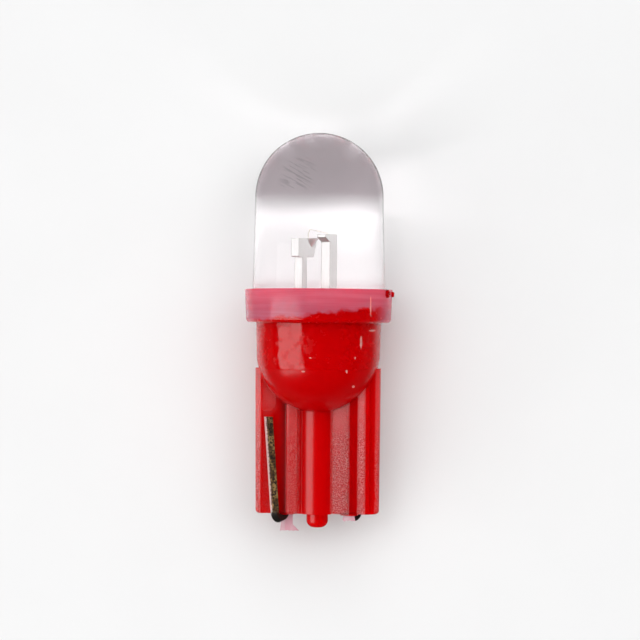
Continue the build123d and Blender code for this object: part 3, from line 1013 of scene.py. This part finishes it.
class WEDGEBULB_OT_red_base(bpy.types.Operator):
    """Build the red moulding: blade, cup, collar and nub, with its wire holes and its hollow"""

    bl_idname = "wedgebulb.red_base"
    bl_label = "Red base"

    def execute(self, context):
        sizes = context.scene.wedge_bulb_sizes
        base = blade_mesh("red_base", sizes)
        cut(base, self.cup(sizes), "UNION")
        cut(base, self.nub(sizes), "UNION")
        cut(base, self.hollow(sizes), "DIFFERENCE")
        for side in (-1, 1):
            cut(base, self.hole(side), "DIFFERENCE")
        smooth(base, 34)
        dress(base, finishes["red"], ("wedge_base",))
        return {"FINISHED"}

    def cup(self, sizes):
        """The solid cup and the collar above it, which narrows a little to its lower edge."""
        foot_radius = sizes.collar_radius - 0.09 * MM
        cup_top = sizes.collar_radius - COLLAR_OVERHANG
        profile = arc(sizes.cup_radius, -90, 0, 48, (0.0, sizes.cup_centre))
        profile[0] = (0.0, profile[0][1])
        profile.append((cup_top, sizes.collar_bottom - 0.05 * MM))
        profile.append((cup_top + 0.05 * MM, sizes.collar_bottom))
        corner = (foot_radius - COLLAR_EDGE, sizes.collar_bottom + COLLAR_EDGE)
        profile += arc(COLLAR_EDGE, -90, 0, 6, corner)
        corner = (sizes.collar_radius - COLLAR_RIM, sizes.collar_top - COLLAR_RIM)
        profile += arc(COLLAR_RIM, 0, 90, 3, corner)
        profile.append((0.0, sizes.collar_top))
        return lathe("cup", profile, sizes.turns)

    def nub(self, sizes):
        """The round nub on the bottom edge, which reaches a little into the blade."""
        root = 0.3 * MM
        profile = [(0.0, -NUB_LENGTH)]
        corner = (sizes.nub_radius - NUB_ROUND, NUB_ROUND - NUB_LENGTH)
        profile += arc(NUB_ROUND, -90, 0, 10, corner)[1:]
        profile += [(sizes.nub_radius, root), (0.0, root)]
        return lathe("nub", profile, 48)

    def hollow(self, sizes):
        """What the cup is hollowed by: the room for the resistor, and above it for the flange."""
        ledge = sizes.collar_radius - COLLAR_WALL
        inside = sizes.cup_radius - CUP_WALL
        dip = math.degrees(math.asin((sizes.cup_centre - CUP_FLOOR) / inside))
        profile = [(0.0, CUP_FLOOR)]
        profile += arc(inside, -dip, 0, 12, (0.0, sizes.cup_centre))
        profile += [
            (inside, FLANGE_BOTTOM),
            (ledge, FLANGE_BOTTOM),
            (ledge, sizes.collar_top + MM),
            (0.0, sizes.collar_top + MM),
        ]
        return lathe("hollow", profile, sizes.turns)

    def hole(self, side):
        """What drills a wire hole, from its wide mouth in the bottom edge up into the cup."""
        past = CUP_FLOOR + 0.2 * MM
        profile = [
            (0.0, -0.1 * MM),
            (HOLE_MOUTH_RADIUS, -0.1 * MM),
            (HOLE_RADIUS, HOLE_MOUTH_DEPTH),
            (HOLE_RADIUS, past),
            (0.0, past),
        ]
        return lathe("drill", profile, 32, (side * HOLE_ACROSS, side * HOLE_BACK))


# The torn gate: turn from the front in degrees, drop below the rim in millimetres, and size
GATE_STUMPS = (("gate_stub", 69, 0.33, 1.15), ("gate_lip", 84, 0.36, 0.8))
STUMP_STEPS = 20
# Rings of a stump from inside the rim to its tip: reach out of the rim and radius
STUMP_RINGS = ((-0.3, 0.27), (0.0, 0.27), (0.08, 0.26), (0.14, 0.22), (0.17, 0.14), (0.12, 0.0))
# Flash, in millimetres: left and right side, height of its lower end, its place in front of the
# axis, and how far its foot flares to the right
FLASHES = (
    ("long_flash", -2.9, -1.85, -1.44, -0.75, 0.42),
    ("short_flash", 1.95, 2.95, -0.5, 0.55, 0.0),
)
FLASH_ROOT = 0.3
FLASH_COLUMNS, FLASH_ROWS = 10, 14


def stump(name, sizes, turn, drop, size):
    """A short torn stump that stands out of the collar's rim, a turn away from the front."""
    outward = Vector((math.sin(turn), 0, math.cos(turn)))
    side = Vector((0, 1, 0))
    third = outward.cross(side)
    bm = bmesh.new()
    loops = []
    for reach, radius in STUMP_RINGS:
        loop = []
        for step in range(STUMP_STEPS):
            angle = math.tau * step / STUMP_STEPS
            spot = place(0, 0, sizes.collar_top - drop)
            spot += outward * (sizes.collar_radius + reach * MM)
            spot += (side * math.cos(angle) + third * math.sin(angle)) * radius * size * MM
            spot += outward * noise.noise(spot * 4000.0) * 0.04 * MM
            loop.append(bm.verts.new(spot))
        loops.append(loop)
    for low, high in zip(loops, loops[1:]):
        for step in range(STUMP_STEPS):
            after = (step + 1) % STUMP_STEPS
            bm.faces.new((low[step], low[after], high[after], high[step]))
    bmesh.ops.remove_doubles(bm, verts=bm.verts, dist=1e-7)
    bmesh.ops.holes_fill(bm, edges=bm.edges)
    return from_bmesh(name, bm)


def flash_sheet(name, left, right, end, out, foot):
    """A torn sheet that hangs from the bottom edge and gets thinner towards its lower end."""
    bm = bmesh.new()
    grid = {}
    for layer in (0, 1):
        for row in range(FLASH_ROWS + 1):
            down = row / FLASH_ROWS
            height = FLASH_ROOT + (end - FLASH_ROOT) * down
            thick = (0.06 - 0.03 * down) * (1 if layer else -1)
            for column in range(FLASH_COLUMNS + 1):
                share = column / FLASH_COLUMNS
                across = left + (right - left) * share
                across += foot * max(0.0, down - 0.75) / 0.25 * share
                wave = noise.noise(Vector((across * 2.1, height * 1.7, 3.0)))
                tuck = 0.16 * math.sin(down * math.pi) * (share - 0.5)
                ragged = 0.12 * noise.noise(Vector((across * 5.0, 1.0, 7.0))) * down
                spot = place(
                    (across - tuck) * MM,
                    (out + 0.1 * wave * down + thick) * MM,
                    (height + ragged) * MM,
                )
                grid[layer, row, column] = bm.verts.new(spot)
    for layer in (0, 1):
        for row in range(FLASH_ROWS):
            for column in range(FLASH_COLUMNS):
                quad = [
                    grid[layer, row, column],
                    grid[layer, row, column + 1],
                    grid[layer, row + 1, column + 1],
                    grid[layer, row + 1, column],
                ]
                bm.faces.new(quad if layer else quad[::-1])
    rim = [(0, column) for column in range(FLASH_COLUMNS)]
    rim += [(row, FLASH_COLUMNS) for row in range(FLASH_ROWS)]
    rim += [(FLASH_ROWS, column) for column in range(FLASH_COLUMNS, 0, -1)]
    rim += [(row, 0) for row in range(FLASH_ROWS, 0, -1)]
    for spot, after in zip(rim, rim[1:] + rim[:1]):
        bm.faces.new((grid[0, *spot], grid[0, *after], grid[1, *after], grid[1, *spot]))
    return from_bmesh(name, bm)


class WEDGEBULB_OT_stub_and_flash(bpy.types.Operator):
    """Build the torn gate on the collar's rim and the paper-thin flash on the bottom edge"""

    bl_idname = "wedgebulb.stub_and_flash"
    bl_label = "Gate stub and flash"

    def execute(self, context):
        sizes = context.scene.wedge_bulb_sizes
        for name, turn, drop, size in GATE_STUMPS:
            torn = stump(name, sizes, math.radians(turn), drop * MM, size)
            smooth(torn, 50)
            dress(torn, finishes["stub"], ("wedge_base",))
        for name, *shape in FLASHES:
            sheet = flash_sheet(name, *shape)
            smooth(sheet, 60)
            dress(sheet, finishes["flash"], ("wedge_base",))
        return {"FINISHED"}


BODY_STEPS = 24


class WEDGEBULB_OT_clear_body(bpy.types.Operator):
    """Build the clear cast body of the LED with its dome and the flange inside the collar"""

    bl_idname = "wedgebulb.clear_body"
    bl_label = "Clear body"

    def execute(self, context):
        sizes = context.scene.wedge_bulb_sizes
        flange = sizes.collar_radius - COLLAR_WALL - FLANGE_PLAY
        neck = sizes.collar_top - FLANGE_PLAY
        low_edge, high_edge = 0.05 * MM, 0.06 * MM
        # The corner between flange and body is square, because a slanted one would look red
        profile = [
            (0.0, FLANGE_BOTTOM),
            (flange - low_edge, FLANGE_BOTTOM),
            (flange, FLANGE_BOTTOM + low_edge),
            (flange, neck - high_edge),
            (flange - high_edge, neck),
            (sizes.lens_bottom_radius, neck),
            (sizes.lens_bottom_radius, sizes.collar_top),
        ]
        for step in range(1, BODY_STEPS):
            share = step / BODY_STEPS
            radius = sizes.lens_bottom_radius
            radius += (sizes.lens_top_radius - sizes.lens_bottom_radius) * share
            height = sizes.collar_top + (sizes.dome_centre - sizes.collar_top) * share
            profile.append((radius, height))
        dome = arc(sizes.lens_top_radius, 0, 90, 56, (0.0, sizes.dome_centre))
        dome[-1] = (0.0, dome[-1][1])
        profile += dome
        body = lathe("clear_body", profile, sizes.turns)
        smooth(body, 40)
        dress(body, finishes["clear"], ("led_lens",))
        return {"FINISHED"}


class WEDGEBULB_OT_lead_frame(bpy.types.Operator):
    """Finish the lead frame, the chip and its wire"""

    bl_idname = "wedgebulb.lead_frame"
    bl_label = "Lead frame and chip"

    def execute(self, context):
        finish_nodes(
            ("cathode_lead", "metal"),
            ("anode_lead", "metal"),
            ("die_attach", "glue"),
            ("led_die", "chip"),
            ("bond_wire", "gold"),
        )
        return {"FINISHED"}


class WEDGEBULB_OT_resistor(bpy.types.Operator):
    """Finish the series resistor inside the cup, its wires and the solder joint"""

    bl_idname = "wedgebulb.resistor"
    bl_label = "Series resistor"

    def execute(self, context):
        finish_nodes(
            ("resistor_core", "ceramic"),
            ("resistor_cap_upper", "cap"),
            ("resistor_cap_lower", "cap"),
            ("resistor_wire_upper", "metal"),
            ("resistor_wire_lower", "metal"),
            ("resistor_coat", "lacquer"),
            ("solder_joint", "solder"),
        )
        return {"FINISHED"}


def finish_nodes(*pairs):
    """Gives CAD nodes that stay as they are their finish."""
    for name, finish in pairs:
        piece = frame["nodes"][name]
        smooth(piece, 32)
        dress(piece, finishes[finish])


def aim(thing, spot, roll=0.0):
    """Turns a lamp or camera at a spot, with the bulb's dome up in its view."""
    away = (thing.location - spot).normalized()
    right = Vector((0, 1, 0)).cross(away).normalized()
    up = away.cross(right)
    turn = Matrix((right, up, away)).transposed()
    thing.rotation_euler = (turn @ Matrix.Rotation(roll, 3, "Z")).to_euler()


STAGE_MIDDLE = 14.0 * MM
FLOOR_HALF = 3.0
# Leans of the lamps are from overhead, to the right and towards the dome, in degrees
SOFTBOX_LEANS = (-52.3, -15.5)
SOFTBOX_SIZE = (0.9, 0.75)
# Soft lights in the sky: both leans, tightness and strength
SKY_LIGHTS = (
    (9.5, 45.4, 25.0, 2.5),
    (-14.5, 16.0, 30.0, 5.3),
    (27.9, 13.0, 25.0, 3.4),
    (4.8, 13.2, 150.0, 1.6),
)


def leaning(across, along):
    """Direction that leans from overhead to the right and towards the dome by these degrees."""
    across, along = math.radians(across), math.radians(along)
    level = math.cos(along)
    return Vector((math.sin(across) * level, math.sin(along), math.cos(across) * level))


def add_softbox(name, spot, leans, size, power):
    """Hangs a rectangular lamp a metre from a spot. Its leans from overhead are in degrees."""
    lamp = bpy.data.lights.new(name, "AREA")
    lamp.shape = "RECTANGLE"
    lamp.size, lamp.size_y = size
    lamp.energy = power
    made = new_object(name, lamp)
    made.location = spot + leaning(*leans)
    aim(made, spot)


class WEDGEBULB_OT_stage(bpy.types.Operator):
    """Build the pale floor, the soft light and the camera above the bulb"""

    bl_idname = "wedgebulb.stage"
    bl_label = "Stage"

    def execute(self, context):
        scene = context.scene
        studio = scene.wedge_bulb_studio
        bm = bmesh.new()
        bmesh.ops.create_grid(bm, x_segments=8, y_segments=8, size=FLOOR_HALF)
        floor = from_bmesh("paper_floor", bm)
        floor.data.materials.append(finishes["paper"])

        # A softbox at the left, soft lights overhead in a dim sky, and a brighter band low all
        # round. The lights overhead shine through the clear body onto the floor behind it, and
        # only the softbox shows in the gloss.
        middle = place(0.0, 0.0, STAGE_MIDDLE)
        add_softbox("softbox", middle, SOFTBOX_LEANS, SOFTBOX_SIZE, studio.softbox_power)

        world = bpy.data.worlds.new("studio")
        scene.world = world
        world.use_nodes = True
        tree = world.node_tree
        sky_light = glow_group()
        upward = split(tree, node(tree, "ShaderNodeTexCoord").outputs["Generated"])["Z"]
        level = span(tree, upward, 0.25, 0.1, studio.dim_sky, studio.horizon_glow)
        for across, along, tightness, strength in SKY_LIGHTS:
            lamp = use(tree, sky_light, Tightness=tightness, Strength=strength)
            feed(tree, lamp, Direction=leaning(across, along))
            level = maths(tree, "ADD", lamp.outputs["Level"], level)
        feed(tree, tree.nodes["Background"], Color=(0.99, 0.995, 1.0, 1.0), Strength=level)
        world.cycles_visibility.glossy = False

        camera_data = bpy.data.cameras.new("camera")
        camera_data.lens = 100.0
        camera_data.sensor_width = 36.0
        camera_data.clip_start = 0.005
        camera = new_object("camera", camera_data)
        centre = Vector((0.11 * MM, 0.78 * MM, AXIS_Z))
        lean = studio.camera_lean
        away = Vector((math.sin(lean), 0, math.cos(lean)))
        camera.location = centre + studio.camera_distance * away
        aim(camera, centre, studio.camera_roll)
        scene.camera = camera
        scene.view_settings.view_transform = "Standard"
        scene.cycles.blur_glossy = 0.0
        return {"FINISHED"}


class WEDGEBULB_PT_panel(bpy.types.Panel):
    """Builds the bulb piece by piece"""

    bl_label = "Wedge Bulb"
    bl_idname = "WEDGEBULB_PT_panel"
    bl_space_type = "VIEW_3D"
    bl_region_type = "UI"
    bl_category = "Wedge Bulb"

    def draw(self, context):
        scene = context.scene
        groups = (scene.wedge_bulb_sizes, scene.wedge_bulb_colours, scene.wedge_bulb_studio)
        for settings in groups:
            column = self.layout.column(align=True)
            for name in settings.__annotations__:
                column.prop(settings, name)
        for operator in BUILD_ORDER:
            self.layout.operator(operator.bl_idname)


BUILD_ORDER = (
    WEDGEBULB_OT_red_base,
    WEDGEBULB_OT_stub_and_flash,
    WEDGEBULB_OT_clear_body,
    WEDGEBULB_OT_lead_frame,
    WEDGEBULB_OT_resistor,
    WEDGEBULB_OT_stage,
)
CLASSES = (BulbSizes, BulbColours, StudioSettings) + BUILD_ORDER + (WEDGEBULB_PT_panel,)
finishes = {}


def register():
    for item in CLASSES:
        bpy.utils.register_class(item)
    bpy.types.Scene.wedge_bulb_sizes = PointerProperty(type=BulbSizes)
    bpy.types.Scene.wedge_bulb_colours = PointerProperty(type=BulbColours)
    bpy.types.Scene.wedge_bulb_studio = PointerProperty(type=StudioSettings)


def unregister():
    del bpy.types.Scene.wedge_bulb_studio
    del bpy.types.Scene.wedge_bulb_colours
    del bpy.types.Scene.wedge_bulb_sizes
    for item in reversed(CLASSES):
        bpy.utils.unregister_class(item)


def make_finishes(colours):
    """Makes every material once, from node groups that they share."""
    groups = {
        "grain": grain_group(),
        "specks": speck_group(),
        "zone": zone_group(),
        "strip": strip_group(),
        "edges": edge_group(),
    }
    finishes["red"] = red_plastic("red_plastic", groups, colours)
    finishes["stub"] = red_plastic("red_stub", groups, colours, has_glowing_rim=False)
    finishes["flash"] = flash_plastic(groups, colours)
    finishes["clear"] = clear_epoxy(groups, colours)
    finishes["metal"] = plated_metal(groups, colours)
    for key, name, *look in INNER_FINISHES:
        finishes[key] = inner_finish(name, groups, *look)
    finishes["lacquer"] = resistor_lacquer(groups)
    finishes["paper"] = paper_floor(groups, colours)


def main():
    register()
    for spare in list(bpy.data.objects):
        if spare.type in {"CAMERA", "LIGHT"} or spare.name == "Cube":
            bpy.data.objects.remove(spare)
    make_finishes(bpy.context.scene.wedge_bulb_colours)
    bpy.ops.wedgebulb.red_base()
    bpy.ops.wedgebulb.stub_and_flash()
    bpy.ops.wedgebulb.clear_body()
    bpy.ops.wedgebulb.lead_frame()
    bpy.ops.wedgebulb.resistor()
    bpy.ops.wedgebulb.stage()


if __name__ == "__main__":
    main()
